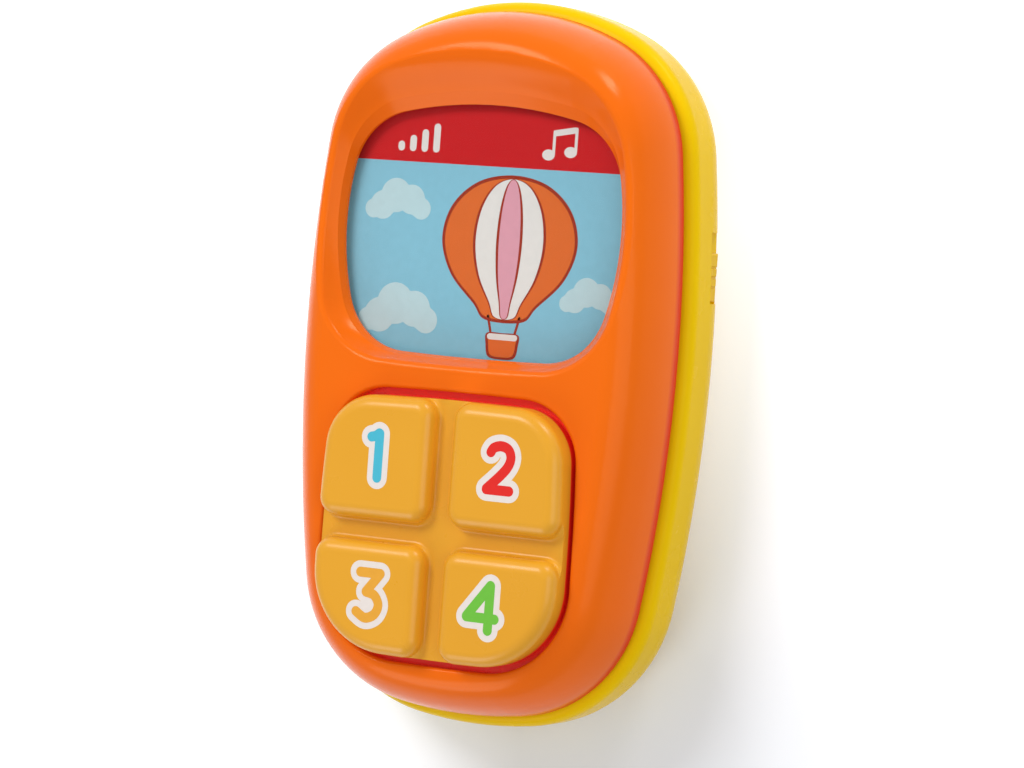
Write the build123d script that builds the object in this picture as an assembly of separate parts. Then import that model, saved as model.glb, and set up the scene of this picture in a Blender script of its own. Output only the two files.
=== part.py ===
from build123d import *
from math import cos, pi, radians, sin, sqrt
import os

import numpy as np

# Toy cell phone, in millimetres. The phone lies on its back: +Z comes out of the screen and keys,
# +Y points to the top of the phone and +X to the right as seen from the front.
# The origin is in the middle of the phone, on the plane that the back rests on.

# Housing
body_length = 120.0  # top to bottom of the rear shell
body_width = 70.5
shoulder_radius = 24.4
hip_radius = 25.2
body_turns = (24.3, 83.1, 99.3, 171.0)  # degrees turned from the crown at each change of arc
rear_depth = 14.6  # back plane to the parting plane
front_height = 13.4  # parting plane to the flat of the bezel
wall = 2.0
back_round = 8.0  # rounding between the back and the sides of the rear shell
flange_round = 2.0  # rounding of the rear shell's rim beside the bezel
bezel_inset = 1.8  # the rear shell's rim stands out this far past the bezel
bezel_shoulder = 7.5  # width of the bezel's elliptical side, seen from the front
shadow_gap_depth = 0.7  # groove between the bezel and the rear shell
shadow_gap_height = 0.6
tongue_height = 1.6  # the rear shell's tongue stands up inside the bezel
tongue_wall = 1.2
ledge_depth = 2.4

# Screen
window_from_top = 17.7  # top of the phone to the window's upper edge
window_length = 41.5
window_side = 9.45  # side of the phone to the window
window_shoulder_radius = 11.6
window_hip_radius = 11.5
window_turns = (13.0, 77.4, 106.2, 178.0)
lip_thickness = 0.7
throat_height = 1.4  # the steep wall that rises from the lip
throat_margins = (2.1, 0.5, 0.4)  # its reach past the window at the top, sides and foot
scoop_levels = (-0.95, -0.25, 0.05)  # outlines of the scooped recess, above the bezel's flat
scoop_margins = ((5.8, 2.5, 1.25), (7.4, 3.1, 1.5), (9.3, 3.55, 1.7))
corner_share = 0.35  # the corners' radii grow by this share of the margins
scoop_rim_round = 1.0
lens_margin = 1.6
lens_thickness = 1.0
card_thickness = 0.4
retainer_thickness = 1.6
lens_depth = 5.4  # bezel's flat down to the face of the lens
retainer_ear_radius = 3.2
retainer_screw_inset = 6.125  # the retainer's screws are this far in from the quarters of the width
retainer_screw_margin = 3.6  # screws' distance past the window's upper edge

# Keypad
waist = 5.6  # band between the window and the keypad's opening
keypad_from_foot = 10.2  # foot of the phone to the opening's lower edge
keypad_side = 12.05  # side of the phone to the opening
keypad_shoulder_radius = 10.2
keypad_hip_radius = 14.9
keypad_turns = (1.6, 86.7, 90.6, 178.5)
keypad_end_gap = 1.25  # gap between the plate and the opening above and below it
keypad_side_gap = 0.8
keypad_edge_round = 0.6
plate_rise = 1.1  # the plate's face stands this far above the bezel
plate_skin = 2.0
pad_rise = 3.2
pad_round = 2.2
pad_foot_round = 0.8
pad_wall = 2.0
pad_channel_x = 3.7  # width of the channels between the pads
pad_channel_y = 3.6
upper_pads_longer = 2.1  # the upper pads are this much longer than the lower ones
pad_inner_radius = 3.0
key_travel = 1.5
pressed_dome_height = 1.1
flange_overhang = 1.2  # the plate's flange reaches this far past the opening
flange_clearance = 0.3
flange_thickness = 1.5
seat_clearance = 0.05
pocket_clearance = 0.15
tongue_clearance = 0.15
fine = 0.01
plunger_radius = 3.0
plunger_length = 1.3  # below the flange
dome_base_radius = 5.5
dome_top_radius = 3.6
membrane_thickness = 1.0

# Circuit board
board_thickness = 1.6
board_clearance = 0.5
board_past_keypad = 3.6  # its straight upper edge lies this far above the keypad's opening
board_boss_radius = 2.1
board_boss_inset = 9.2  # from the side of the phone
board_boss_drop = 0.8  # below the opening's upper edge
foot_boss_from_foot = 6.3
chip_radius = 5.5
chip_height = 1.6
chip_round = 1.1
chip_from_top = 15.0  # chip's middle below the keypad's upper edge
capacitor_side = 15.25  # side of the phone to the capacitor
capacitor_radius = 2.5
capacitor_length = 8.0
capacitor_round = 0.5

# Screws
thread_clearance = 0.05
head_clearance = 0.3
small_screw_bite = 3.0  # depth of a small screw in its boss
screw_radius = 1.15
screw_head_radius = 2.3
screw_head_height = 1.6
small_screw_radius = 0.85
small_head_radius = 1.7
small_head_height = 1.2
boss_radius = 2.7
post_radius = 3.5
housing_screw_depth = 7.0  # the heads' seat above the back plane
housing_screw_length = 13.0
upper_screws_from_top = 16.4
upper_screw_inset = 6.0  # from the side of the phone
middle_screws_rise = 1.8  # above the window's lower edge
middle_screw_inset = 7.8
lower_screws_from_foot = 7.0
lower_screw_inset = 4.9

# Battery compartment
cell_radius = 5.25
cell_length = 44.5
cell_nub_radius = 1.9
cell_nub_length = 0.8
cell_round = 0.4
cell_pitch = 11.2
cell_clearance = 0.25
contact_thickness = 0.4
contact_width = 8.4
contact_height = 6.2
tab_width = 2.4
spring_length = 5.2
spring_radius = 2.6
spring_wire = 0.35
spring_turns = 3.5
bay_top = 13.2  # y of the compartment's upper end
bay_wall = 2.4
bay_side_gap = 0.6
bay_roof = 1.5
cover_thickness = 1.9
cover_overlap = 1.4  # the cover laps the compartment's edge
cover_gap = 0.25
cover_corner = 4.0
cover_lug = 10.0  # the cover runs on past the compartment to its screw
cover_screw_inset = 4.6
cover_hub_radius = 4.0
cover_hub_height = 2.1
cover_hub_clearance = 0.45
catch_width = 4.0  # the catch on the cover's upper end hooks behind the back wall
catch_length = 2.0
catch_thickness = 1.2
catch_neck = 0.8
catch_swing = 1.2  # room above the catch for it to turn
cover_screw_radius = 1.25
cover_screw_head_radius = 2.6
cover_screw_head_height = 1.7
cover_screw_recess = 0.25  # the head lies this far below the cover's face
cover_screw_tip = 7.6
nut_floor = 1.2
cover_screw_clearance = 0.45
nut_flats = 5.0
nut_height = 2.0
pillar_height = 8.4
grip_rib_length = 9.0
grip_rib_pitch = 1.6
grip_rib_depth = 0.4
grip_rib_count = 5

# Speaker
speaker_drop = 3.8  # its middle lies this far below the middle of its room
speaker_radius = 14.0
speaker_rim = 1.6
speaker_height = 8.4
magnet_radius = 7.4
magnet_height = 3.2
rim_thickness = 0.8
gasket_thickness = 0.5
cone_thickness = 0.4
speaker_screw_pitch = 16.4
sound_hole_radius = 1.0
sound_hole_pitch = 3.6
sound_hole_rings = 2

# Power switch
switch_rise = 17.6  # above the window's lower edge
recess_length = 11.6
recess_depth = 1.8
recess_front = 8.3  # top of the recess above the back plane
recess_rear = 3.2
switch_travel = 3.0
knob_length = 8.0
knob_height = 4.2
knob_thickness = 0.7
knob_clearance = 0.1
knob_groove = 0.25
knob_round = 0.4
stem_length = 2.0
stem_height = 1.6
switch_length = 8.6
switch_height = 3.8
switch_depth = 3.4

# Leads
lead_radius = 0.6
lead_bend = 2.0
battery_lead_run = 9.0
speaker_lead_x = 2.5
switch_lead_reaches = (5.6, 7.4)  # how far the leads run in from the switch
lead_landing = 2.8  # the leads meet the board this far below its upper edge


class Outline:
    """A closed outline of ten tangent arcs, alike on both sides of the Y axis.

    The crown, flank and foot radii follow from the length and the width."""

    def __init__(self, top, length, width, shoulder, hip, turns):
        self.top = top
        self.bearings = (0.0, *turns, 180.0)
        s = [sin(radians(turn)) for turn in self.bearings]
        c = [cos(radians(turn)) for turn in self.bearings]
        half_width_row = [s[1], 1 - s[2], 0]
        length_row = [c[0] - c[1], c[2] - c[3], c[4] - c[5]]
        closing_row = [s[1], s[3] - s[2], s[5] - s[4]]
        given_shoulder = shoulder * (s[2] - s[1])
        given_hip = hip * (s[4] - s[3])
        given_length = shoulder * (c[1] - c[2]) + hip * (c[3] - c[4])
        crown, flank, foot = np.linalg.solve(
            [half_width_row, length_row, closing_row],
            [width / 2 - given_shoulder, length - given_length, -given_shoulder - given_hip],
        )
        self.radii = (float(crown), shoulder, float(flank), hip, float(foot))

    def arcs(self, inset):
        """Centre, radius and bearings of each arc down the right-hand side."""
        x, y = 0.0, self.top - inset
        for radius, start, end in zip(self.radii, self.bearings, self.bearings[1:]):
            r = radius - inset
            centre_x = x - r * sin(radians(start))
            centre_y = y - r * cos(radians(start))
            yield centre_x, centre_y, r, start, end
            x = centre_x + r * sin(radians(end))
            y = centre_y + r * cos(radians(end))

    def wire(self, inset=0.0):
        right = []
        for centre_x, centre_y, r, start, end in self.arcs(inset):
            stops = [
                (centre_x + r * sin(radians(turn)), centre_y + r * cos(radians(turn)))
                for turn in (start, (start + end) / 2, end)
            ]
            right.append(ThreePointArc(*stops))
        left = [arc.mirror(Plane.YZ) for arc in reversed(right)]
        return Wire(right + left)

    def prism(self, inset, low, high):
        """Upright solid of this outline between two heights."""
        return Pos(0, 0, low) * extrude(make_face(self.wire(inset)), high - low)

    def half_width(self, y, inset=0.0):
        for centre_x, centre_y, r, start, end in self.arcs(inset):
            if centre_y + r * cos(radians(end)) <= y <= centre_y + r * cos(radians(start)):
                return centre_x + sqrt(r * r - (y - centre_y) ** 2)
        return 0.0


def cylinder(x, y, low, high, radius):
    return Pos(x, y, (low + high) / 2) * Cylinder(radius, high - low)


def block(x_low, x_high, y_low, y_high, z_low, z_high):
    centre = ((x_low + x_high) / 2, (y_low + y_high) / 2, (z_low + z_high) / 2)
    return Pos(*centre) * Box(x_high - x_low, y_high - y_low, z_high - z_low)


def rounded_block(width, y_low, y_high, z_low, z_high, corner):
    sketch = Pos(0, (y_low + y_high) / 2) * RectangleRounded(width, y_high - y_low, corner)
    return Pos(0, 0, z_low) * extrude(sketch, z_high - z_low)


def both_sides(place):
    x, y = place
    return [(x, y), (-x, y)]


def domed(outline, inset, low, height, shoulder):
    """Solid whose side rises in a quarter ellipse from the outline to a flat top."""
    edge_y = outline.top - inset
    core_inset = shoulder + wall
    ellipse = EllipticalCenterArc(
        (edge_y - shoulder, 0), shoulder, height, start_angle=0, arc_size=90
    )
    corner_top = (edge_y - core_inset - 1, height)
    corner_foot = (edge_y - core_inset - 1, 0)
    profile = make_face(
        [
            ellipse,
            Line(ellipse @ 1, corner_top),
            Line(corner_top, corner_foot),
            Line(corner_foot, ellipse @ 0),
        ]
    )
    side = sweep(Plane.YZ * profile, path=outline.wire(inset))
    core = extrude(make_face(outline.wire(inset + core_inset)), height)
    return Pos(0, 0, low) * (core + side)


def round_window(top, side, foot):
    """The outline that lies this far outside the window's edge."""
    return Outline(
        window_top + top,
        window_length + top + foot,
        window_width + 2 * side,
        window_shoulder_radius + corner_share * (top + side),
        window_hip_radius + corner_share * (side + foot),
        window_turns,
    )


# Heights that several pieces share
front_plane = rear_depth + front_height
bezel_ceiling = front_plane - wall
lens_face = front_plane - lens_depth
lip_face = lens_face + lip_thickness
card_face = lens_face - lens_thickness
retainer_face = card_face - card_thickness
retainer_back = retainer_face - retainer_thickness
plate_face = front_plane + plate_rise
flange_top = bezel_ceiling - seat_clearance
flange_bottom = flange_top - flange_thickness
plunger_end = flange_bottom - plunger_length
dome_height = key_travel + pressed_dome_height
membrane_face = plunger_end - dome_height
board_face = membrane_face - membrane_thickness
board_back = board_face - board_thickness
cell_z = cover_thickness + cell_clearance + cell_radius
bay_ceiling = cell_z + cell_radius + cell_clearance
bay_roof_top = bay_ceiling + bay_roof
lead_height = (bay_roof_top + board_back) / 2
board_bend = (board_back - bay_roof_top) / 3  # tighter, where a lead turns up to the board
pad_face = plate_face + pad_rise

# Places that several pieces share
body_top = body_length / 2
window_top = body_top - window_from_top
window_foot = window_top - window_length
window_width = body_width - 2 * window_side
keypad_top = window_foot - waist
keypad_foot = keypad_from_foot - body_top
keypad_length = keypad_top - keypad_foot
keypad_width = body_width - 2 * keypad_side
board_top_edge = keypad_top + board_past_keypad
lead_end_y = board_top_edge - lead_landing
bay_half_width = cell_pitch / 2 + cell_radius + bay_side_gap
bay_length = cell_length + spring_length + 2 * contact_thickness
bay_foot = bay_top - bay_length
cover_half_width = bay_half_width + cover_overlap
cover_top = bay_top
cover_foot = bay_foot - cover_lug
cover_screw_y = cover_foot + cover_screw_inset
pillar_half_width = cover_hub_radius + cover_hub_clearance + wall
retainer_screw_y = window_top + retainer_screw_margin

body = Outline(body_top, body_length, body_width, shoulder_radius, hip_radius, body_turns)
window = Outline(
    window_top,
    window_length,
    window_width,
    window_shoulder_radius,
    window_hip_radius,
    window_turns,
)
keypad = Outline(
    keypad_top,
    keypad_length,
    keypad_width,
    keypad_shoulder_radius,
    keypad_hip_radius,
    keypad_turns,
)
plate = Outline(
    keypad_top - keypad_end_gap,
    keypad_length - 2 * keypad_end_gap,
    keypad_width - 2 * keypad_side_gap,
    keypad_shoulder_radius - keypad_end_gap,
    keypad_hip_radius - keypad_end_gap,
    keypad_turns,
)
housing_screws_at = [
    place
    for y, inset in (
        (body_top - upper_screws_from_top, upper_screw_inset),
        (window_foot + middle_screws_rise, middle_screw_inset),
        (lower_screws_from_foot - body_top, lower_screw_inset),
    )
    for place in both_sides((body.half_width(y, inset), y))
]
board_boss_y = keypad_top - board_boss_drop
board_screws_at = [
    *both_sides((body.half_width(board_boss_y, board_boss_inset), board_boss_y)),
    (0.0, foot_boss_from_foot - body_top),
]
retainer_screws_at = both_sides((body_width / 4 - retainer_screw_inset, retainer_screw_y))
channel_y = (keypad_top + keypad_foot - upper_pads_longer) / 2
upper_pad_foot = channel_y + pad_channel_y / 2
lower_pad_top = channel_y - pad_channel_y / 2
pad_centre_x = (keypad_width / 2 - keypad_side_gap + pad_channel_x / 2) / 2
upper_pad_y = (keypad_top - keypad_end_gap + upper_pad_foot) / 2
lower_pad_y = (keypad_foot + keypad_end_gap + lower_pad_top) / 2
plungers_at = [(side * pad_centre_x, y) for side in (-1, 1) for y in (upper_pad_y, lower_pad_y)]
pads = [(side, upper) for side in (-1, 1) for upper in (True, False)]
speaker_y = (body_top - wall + bay_top + bay_wall) / 2 - speaker_drop
housing_screw_seat = housing_screw_depth
housing_screw_end = housing_screw_seat + housing_screw_length + pocket_clearance
board_screw_end = board_face + small_screw_bite + pocket_clearance
retainer_screw_end = retainer_face + small_screw_bite + pocket_clearance
cover_hub_top = cover_thickness + cover_hub_height
cover_screw_seat = cover_screw_recess + cover_screw_head_height
catch_face = wall + seat_clearance
nut_seat = cover_hub_top + nut_floor
speaker_foot = wall + seat_clearance
speaker_seat_top = speaker_foot + gasket_thickness + rim_thickness
speaker_screws_at = [
    (speaker_screw_pitch * sin(turn), speaker_y + speaker_screw_pitch * cos(turn))
    for turn in (radians(angle) for angle in (0, 120, 240))
]
sound_holes_at = [(0.0, speaker_y)] + [
    (
        ring * sound_hole_pitch * sin(2 * pi * step / (6 * ring)),
        speaker_y + ring * sound_hole_pitch * cos(2 * pi * step / (6 * ring)),
    )
    for ring in range(1, sound_hole_rings + 1)
    for step in range(6 * ring)
]
switch_y = window_foot + switch_rise
side_x = body.half_width(switch_y)
recess_floor_x = side_x - recess_depth
switch_face_x = recess_floor_x - wall
switch_z = (recess_front + recess_rear) / 2
switch_top = switch_z + switch_height / 2
knob_y = switch_y - switch_travel / 2
chip_y = keypad_top - chip_from_top
wall_middle = wall / 2  # inner features root in the middle of the wall


def screw(x, y, seat, radius, head_radius, head_height, length):
    """Screw standing on its head, which lies below the seat height."""
    head = cylinder(x, y, seat - head_height, seat, head_radius)
    return head + cylinder(x, y, seat, seat + length, radius)


def together(shapes):
    """Separate solids that share one node."""
    return Compound(children=[solid for shape in shapes for solid in shape.solids()])


def front_bezel():
    outer = domed(body, bezel_inset, rear_depth, front_height, bezel_shoulder)
    inner_shoulder = bezel_shoulder - wall
    inner = domed(body, bezel_inset + wall, rear_depth, front_height - wall, inner_shoulder)
    shell = outer - inner
    shell += round_window(*scoop_margins[-1]).prism(-wall, retainer_back, bezel_ceiling) & outer
    for x, y in housing_screws_at:
        shell += cylinder(x, y, rear_depth + seat_clearance, bezel_ceiling, boss_radius) & outer
    for x, y in board_screws_at:
        shell += cylinder(x, y, board_face, bezel_ceiling, board_boss_radius) & outer
    shell = with_window_recess(shell)
    below = retainer_back - wall
    shell -= window.prism(0, below, lip_face)
    shell -= window.prism(-lens_margin, below, lens_face)
    for x, y in retainer_screws_at:
        shell -= cylinder(x, y, below, retainer_face, retainer_ear_radius + pocket_clearance)
    shell -= keypad.prism(0, board_face, front_plane + wall)
    shell -= keypad.prism(-flange_overhang - flange_clearance, board_face, bezel_ceiling)
    for x, y in housing_screws_at:
        shell -= cylinder(x, y, rear_depth, housing_screw_end, screw_radius + thread_clearance)
    small_hole = small_screw_radius + thread_clearance
    for x, y in board_screws_at:
        shell -= cylinder(x, y, board_face, board_screw_end, small_hole)
    for x, y in retainer_screws_at:
        shell -= cylinder(x, y, retainer_face, retainer_screw_end, small_hole)
    groove_top = rear_depth + shadow_gap_height
    groove = body.prism(0, rear_depth, groove_top)
    groove -= body.prism(bezel_inset + shadow_gap_depth, rear_depth, groove_top)
    shell -= groove
    mouth = shell.edges().filter_by(lambda edge: on_keypad_mouth(edge.center()))
    return fillet(mouth, keypad_edge_round)


def with_window_recess(shell):
    """A steep throat rises round the window, and above it a scoop rolls out into the bezel."""
    lip = Pos(0, 0, lip_face) * make_face(window.wire())
    heights = [lip_face + throat_height, *(front_plane + level for level in scoop_levels)]
    throat, *scoop = [
        Pos(0, 0, height) * make_face(round_window(*margins).wire())
        for height, margins in zip(heights, (throat_margins, *scoop_margins))
    ]
    recess = loft([lip, throat]) + loft([throat, *scoop])
    cut = shell - recess
    made = new_edges(shell, recess, combined=cut)
    return fillet(made.filter_by(on_scoop_rim), scoop_rim_round)


def on_scoop_rim(edge):
    runs_round = edge.bounding_box().size.Z < throat_height
    return runs_round and edge.center().Z > lip_face + 2 * throat_height


def on_keypad_mouth(point):
    above = abs(point.Z - front_plane) < fine
    return above and abs(point.X) < keypad.half_width(point.Y, -wall)


def rear_shell():
    outer = body.prism(0, 0, rear_depth)
    outer = fillet(outer.edges().group_by(Axis.Z)[0], back_round)
    outer = fillet(outer.edges().group_by(Axis.Z)[-1], flange_round)
    inner = body.prism(wall, wall, rear_depth + wall)
    inner = fillet(inner.edges().group_by(Axis.Z)[0], back_round - wall)
    shell = outer - inner
    shell += alignment_tongue(outer)
    for x, y in housing_screws_at:
        shell += cylinder(x, y, 0, rear_depth, post_radius) & outer
    shell += switch_mount() & outer
    shell += speaker_seat()
    shell += battery_bay()
    for x, y in housing_screws_at:
        shell -= cylinder(x, y, -wall, housing_screw_seat, screw_head_radius + head_clearance)
        shell -= cylinder(x, y, 0, rear_depth + wall, screw_radius + head_clearance)
    shell -= battery_room()
    shell -= switch_room()
    for x, y in speaker_screws_at:
        shell -= cylinder(x, y, wall_middle, speaker_seat_top, small_screw_radius + thread_clearance)
    for x, y in sound_holes_at:
        shell -= cylinder(x, y, -wall, 2 * wall, sound_hole_radius)
    return shell


def alignment_tongue(outer):
    """Ledge that carries the bezel's edge, with a tongue that stands up inside the bezel."""
    low = rear_depth - ledge_depth
    high = rear_depth + tongue_height
    tongue_inset = bezel_inset + wall + tongue_clearance
    ledge = body.prism(wall_middle, low, rear_depth) & outer
    ledge += body.prism(tongue_inset, rear_depth, high)
    ledge -= body.prism(tongue_inset + tongue_wall, low, high)
    for x, y in housing_screws_at:
        ledge -= cylinder(x, y, rear_depth, high, boss_radius + tongue_clearance)
    return ledge


def battery_bay():
    side = bay_half_width + bay_wall
    bay = block(-side, side, bay_foot - bay_wall, bay_top + bay_wall, wall_middle, bay_roof_top)
    pillar_foot = cover_screw_y - pillar_half_width
    bay += block(-pillar_half_width, pillar_half_width, pillar_foot, bay_foot, wall_middle, pillar_height)
    return bay


def battery_room():
    """Everything cut away for the cells, their contacts, the cover and its screw."""
    room = block(-bay_half_width, bay_half_width, bay_foot, bay_top, -wall, bay_ceiling)
    room += rounded_block(
        2 * (cover_half_width + cover_gap),
        cover_foot - cover_gap,
        cover_top + cover_gap,
        -wall,
        cover_thickness + seat_clearance,
        cover_corner,
    )
    catch_side = catch_width / 2 + cover_gap
    catch_top = catch_face + catch_thickness + catch_swing
    room += block(-catch_side, catch_side, bay_top, bay_top + 2 * bay_wall, wall, catch_top)
    for x in (-cell_pitch / 2, cell_pitch / 2):
        side = tab_width / 2 + pocket_clearance
        slot_far = bay_foot + contact_thickness + pocket_clearance
        room += block(x - side, x + side, bay_foot, slot_far, bay_ceiling, bay_roof_top)
    hub_room = cover_hub_radius + cover_hub_clearance
    room += cylinder(0, cover_screw_y, 0, cover_hub_top + cover_gap, hub_room)
    shank_room = cover_screw_radius + cover_screw_clearance
    room += cylinder(0, cover_screw_y, 0, pillar_height, shank_room)
    room += nut_prism(nut_flats + thread_clearance, nut_seat, pillar_height)
    return room


def nut_prism(flats, low, high):
    hexagon = Pos(0, cover_screw_y) * RegularPolygon(flats / 2, 6, major_radius=False)
    return Pos(0, 0, low) * extrude(hexagon, high - low)


def speaker_seat():
    seat = cylinder(0, speaker_y, wall_middle, speaker_seat_top, speaker_radius + speaker_rim)
    for x, y in speaker_screws_at:
        seat += cylinder(x, y, wall_middle, speaker_seat_top, board_boss_radius)
    return seat - cylinder(0, speaker_y, 0, speaker_seat_top, speaker_radius + pocket_clearance)


def switch_mount():
    half = switch_length / 2 + wall
    inner = switch_face_x - switch_depth
    mount = block(inner, side_x, switch_y - half, switch_y + half, wall_middle, switch_top)
    room_half = switch_length / 2 + pocket_clearance
    low = switch_z - switch_height / 2
    above = switch_top + wall
    mount -= block(
        inner - wall, switch_face_x, switch_y - room_half, switch_y + room_half, low, above
    )
    return mount


def switch_room():
    """The knob's recess in the side wall, and the slot that its stem slides in."""
    half = recess_length / 2
    room = block(
        recess_floor_x, side_x + wall, switch_y - half, switch_y + half, recess_rear, recess_front
    )
    stem_side = stem_height / 2 + knob_clearance
    room += block(
        switch_face_x - fine,
        side_x,
        knob_y - stem_length / 2 - knob_clearance,
        knob_y + stem_length / 2 + switch_travel + knob_clearance,
        switch_z - stem_side,
        switch_z + stem_side,
    )
    return room


def window_lens():
    return window.prism(pocket_clearance - lens_margin, card_face, lens_face)


def picture_card():
    return window.prism(pocket_clearance - lens_margin, retainer_face, card_face)


def picture_retainer():
    plate = window.prism(pocket_clearance - lens_margin, retainer_back, retainer_face)
    for x, y in retainer_screws_at:
        plate += cylinder(x, y, retainer_back, retainer_face, retainer_ear_radius)
    for x, y in retainer_screws_at:
        hole = small_screw_radius + pocket_clearance
        plate -= cylinder(x, y, retainer_back, retainer_face, hole)
    return plate


def pad_block(side, upper, inset, low, high):
    """One quarter of the plate's outline, cut off by the channels, with rounded inner corners."""
    x_low, x_high = sorted((side * (pad_channel_x / 2 + inset), side * keypad_width))
    y_low, y_high = upper_pad_foot + inset, keypad_top
    if not upper:
        y_low, y_high = keypad_foot, lower_pad_top - inset
    inner_x = pad_channel_x / 2 + inset
    inner_y = y_low if upper else y_high
    key = plate.prism(inset, low, high) & block(x_low, x_high, y_low, y_high, low, high)
    corners = [
        edge
        for edge in key.edges().filter_by(Axis.Z)
        if abs(abs(edge.center().X) - inner_x) < fine or abs(edge.center().Y - inner_y) < fine
    ]
    return fillet(corners, pad_inner_radius - inset)


def channel_cutter():
    """Cut away round the pads. Its rounded lower edges leave a soft foot on each pad."""
    top = pad_face + wall
    cutter = keypad.prism(-flange_overhang, plate_face, top)
    for side, upper in pads:
        cutter -= pad_block(side, upper, 0, plate_face, top)
    feet = cutter.edges().group_by(Axis.Z)[0]
    feet = [edge for edge in feet if abs(edge.center().X) < plate.half_width(edge.center().Y, -fine)]
    return fillet(feet, pad_foot_round)


def keypad_plate():
    moulding = plate.prism(0, flange_bottom, pad_face) - channel_cutter()
    moulding = fillet(moulding.edges().group_by(Axis.Z)[-1], pad_round)
    moulding += keypad.prism(-flange_overhang, flange_bottom, flange_top)
    moulding -= plate.prism(plate_skin, flange_bottom, plate_face - plate_skin)
    for side, upper in pads:
        moulding -= pad_block(side, upper, pad_wall, plate_face - plate_skin, pad_face - pad_wall)
    for x, y in plungers_at:
        moulding += cylinder(x, y, plunger_end, pad_face - pad_wall, plunger_radius)
    return moulding


def key_membrane():
    sheet = plate.prism(0, board_face, membrane_face)
    for x, y in plungers_at:
        middle = membrane_face + dome_height / 2
        sheet += Pos(x, y, middle) * Cone(dome_base_radius, dome_top_radius, dome_height)
        hollow_height = membrane_face + dome_height - membrane_thickness - board_face
        hollow = Cone(
            dome_base_radius - membrane_thickness, dome_top_radius - membrane_thickness, hollow_height
        )
        sheet -= Pos(x, y, board_face + hollow_height / 2) * hollow
    return sheet


def circuit_board():
    rise = (board_face - rear_depth) / (front_height - wall)
    lean = (bezel_shoulder - wall) * (1 - sqrt(1 - rise * rise))
    inset = bezel_inset + wall + lean + board_clearance
    board = body.prism(inset, board_back, board_face)
    board &= block(-body_width, body_width, -body_length, board_top_edge, board_back, board_face)
    for x, y in board_screws_at:
        board -= cylinder(x, y, board_back, board_face, small_screw_radius + pocket_clearance)
    for x, y in housing_screws_at:
        board -= cylinder(x, y, board_back, board_face, boss_radius + board_clearance)
    return board


def chip_blob():
    dome = Pos(0, chip_y, board_back) * Rot(180, 0, 0) * Cylinder(
        chip_radius, chip_height, align=(Align.CENTER, Align.CENTER, Align.MIN)
    )
    return fillet(dome.edges().group_by(Axis.Z)[0], chip_round)


def capacitor():
    lying = Rot(90, 0, 0) * Cylinder(capacitor_radius, capacitor_length)
    lying = fillet(lying.edges(), capacitor_round)
    return Pos(body_width / 2 - capacitor_side, chip_y, board_back - capacitor_radius) * lying


def slide_switch():
    half = switch_length / 2
    low = switch_z - switch_height / 2
    return block(
        switch_face_x - switch_depth, switch_face_x, switch_y - half, switch_y + half, low, switch_top
    )


def switch_knob():
    foot = recess_floor_x + seat_clearance
    half = knob_length / 2
    low, high = switch_z - knob_height / 2, switch_z + knob_height / 2
    knob = block(foot, foot + knob_thickness, knob_y - half, knob_y + half, low, high)
    knob = fillet(knob.edges().group_by(Axis.X)[-1], knob_round)
    for step in (-1, 0, 1):
        y = knob_y + step * grip_rib_pitch
        knob -= Pos(foot + knob_thickness, y, switch_z) * Cylinder(knob_groove, knob_height)
    stem_half = stem_length / 2
    stem_low, stem_high = switch_z - stem_height / 2, switch_z + stem_height / 2
    stem_foot = switch_face_x + seat_clearance
    knob += block(stem_foot, foot + fine, knob_y - stem_half, knob_y + stem_half, stem_low, stem_high)
    return knob


def turned(points):
    """Ring turned about the speaker's axis from (radius, height) corners."""
    return Pos(0, speaker_y, 0) * revolve(Plane.XZ * make_face(Polyline(*points, close=True)), Axis.Z)


def speaker_frame():
    rim = speaker_radius - speaker_rim
    low = speaker_foot + gasket_thickness
    top = speaker_foot + speaker_height - magnet_height
    neck = magnet_radius
    profile = [
        (rim, low),
        (speaker_radius, low),
        (speaker_radius, low + rim_thickness),
        (rim + rim_thickness / 2, low + rim_thickness),
        (neck + rim_thickness, top),
        (neck / 2, top),
        (neck / 2, top - rim_thickness),
        (neck, top - rim_thickness),
        (rim, low + rim_thickness / 2),
    ]
    return turned(profile)


def speaker_magnet():
    low = speaker_foot + speaker_height - magnet_height
    magnet = cylinder(0, speaker_y, low, low + magnet_height, magnet_radius)
    return chamfer(magnet.edges().group_by(Axis.Z)[-1], cone_thickness)


def speaker_cone():
    rim = speaker_radius - speaker_rim
    t = cone_thickness
    profile = [
        (0, speaker_foot + 3 * t),
        (magnet_radius / 2, speaker_foot + 4 * t),
        (rim - 3 * t, speaker_foot + t),
        (rim, speaker_foot),
        (speaker_radius, speaker_foot),
        (speaker_radius, speaker_foot + gasket_thickness),
        (rim, speaker_foot + gasket_thickness),
        (rim - 3 * t, speaker_foot + 2 * t),
        (magnet_radius / 2, speaker_foot + 5 * t),
        (0, speaker_foot + 4 * t),
    ]
    return turned(profile)


def battery_cover():
    width = 2 * cover_half_width
    cover = rounded_block(width, cover_foot, cover_top, 0, cover_thickness, cover_corner)
    cover += cylinder(0, cover_screw_y, 0, cover_hub_top, cover_hub_radius)
    half = catch_width / 2
    neck = cover_top - catch_neck
    catch_top = catch_face + catch_thickness
    cover += block(-half, half, neck, cover_top, cover_thickness, catch_top)
    cover += block(-half, half, neck, cover_top + catch_length, catch_face, catch_top)
    head_room = cover_screw_head_radius + head_clearance
    cover -= cylinder(0, cover_screw_y, 0, cover_screw_seat, head_room)
    cover -= cylinder(0, cover_screw_y, 0, cover_hub_top, cover_screw_radius + head_clearance)
    first = cover_screw_y + cover_hub_radius + grip_rib_pitch
    for step in range(grip_rib_count):
        y = first + step * grip_rib_pitch
        groove = Rot(0, 90, 0) * Cylinder(grip_rib_depth, grip_rib_length)
        cover -= Pos(0, y, 0) * groove
    return cover


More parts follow.
